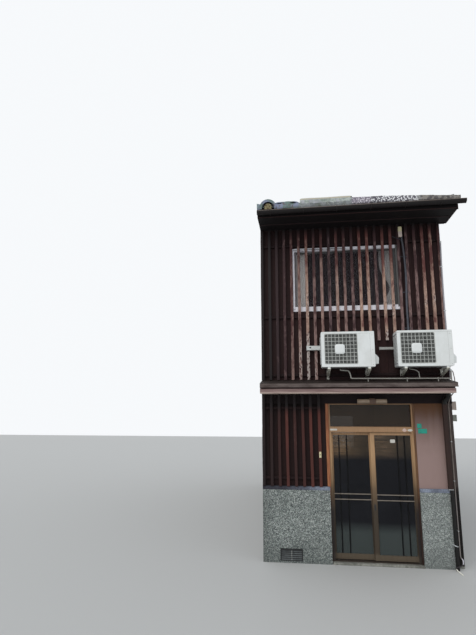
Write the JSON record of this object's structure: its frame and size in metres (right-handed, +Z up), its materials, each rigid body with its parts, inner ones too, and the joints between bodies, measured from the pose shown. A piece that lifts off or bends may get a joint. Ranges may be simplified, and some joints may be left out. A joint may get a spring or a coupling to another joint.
{
  "type": "machiya townhouse",
  "caption": "Narrow two-storey timber townhouse in a row: slatted lattice front, tiled gable roof, glazed sliding entrance doors, ledge and outdoor units between the storeys.",
  "frame": {"origin": "on the ground under the street front's wall face, at the middle of the frontage", "axes": "+X to the right along the street front, +Y back into the house, +Z up"},
  "size_m": [3.0774, 8.898, 7.1594],
  "materials": {
    "concrete": "rough concrete",
    "floor_boards": "old planed boards",
    "mortar": "weathered grey mortar",
    "dark_boards": "near-black stained boards",
    "brown_boards": "faded brown boards",
    "mauve_plaster": "matt mauve-grey plaster",
    "pebble_render": "washed chip render",
    "dark_metal": "satin dark paint",
    "door_post_wood": "oiled reddish timber",
    "wood_tone_aluminium": "wood-tone coated aluminium, weathered",
    "dark_glass": "clear glass in front of a dark room",
    "lattice_wood": "weathered maroon-brown stain",
    "silver_aluminium": "anodised",
    "white_plastic": "satin white",
    "curtain_cloth": "pale woven curtain",
    "ledge_metal": "faded brown sheet metal",
    "unit_enamel": "ivory enamel",
    "galvanised_steel": "galvanised",
    "grey_plastic": "satin grey",
    "roof_tile": "weathered grey clay tile with lichen",
    "brown_plastic": "dark brown, faded",
    "lamp_plastic": "yellowed translucent cover",
    "cream_plastic": "aged cream",
    "teal_enamel": "gloss enamel"
  },
  "bodies": {
    "house": {"foundation": "concrete", "upper_floor": "floor_boards", "left_party_wall": "mortar", "right_party_wall": "mortar", "board_wall": "dark_boards", "plaster_wall": "mauve_plaster", "corner_post": "brown_boards", "dado_left": "pebble_render", "dado_right": "pebble_render", "vent_grille": "dark_metal", "door_posts": "door_post_wood", "lintel_beam": "dark_boards", "front_wall_upper": "dark_boards", "rear_wall_lower": "mauve_plaster", "rear_wall_upper": "dark_boards", "door_frame": "wood_tone_aluminium", "transom_glass": "dark_glass", "lower_lattice": "lattice_wood", "upper_lattice": "lattice_wood", "upper_window": "silver_aluminium", "upper_window_glass": "dark_glass", "curtain_rail": "white_plastic", "curtains": "curtain_cloth", "rear_windows": "silver_aluminium", "rear_window_glass": "dark_glass", "ledge": "mauve_plaster", "ledge_cap": "ledge_metal", "aircon_left": "unit_enamel", "aircon_right": "unit_enamel", "aircon_grilles": "unit_enamel", "aircon_brackets": "galvanised_steel", "duct_covers": "white_plastic", "drain_pipe": "grey_plastic", "soffits": "dark_boards", "rafters": "dark_boards", "roof_boards": "dark_boards", "front_tiles": "roof_tile", "rear_tiles": "roof_tile", "ridge_tiles": "roof_tile", "verge_boards": "dark_boards", "gutters": "brown_plastic", "downpipes": "brown_plastic", "porch_lamp": "lamp_plastic", "doorbell": "cream_plastic", "address_plates": "teal_enamel", "wall_conduits": "grey_plastic"},
    "left_door_leaf": {"left_door": "wood_tone_aluminium", "left_door_glass": "dark_glass"},
    "right_door_leaf": {"right_door": "wood_tone_aluminium", "right_door_glass": "dark_glass", "door_lock": "dark_metal"}
  },
  "joints": [
    {"name": "left_door_slide", "type": "slide", "parent": "house", "child": "left_door_leaf", "axis": [1, 0, 0], "range_m": [0, 0.54]},
    {"name": "right_door_slide", "type": "slide", "parent": "house", "child": "right_door_leaf", "axis": [1, 0, 0], "range_m": [-0.54, 0]}
  ]
}
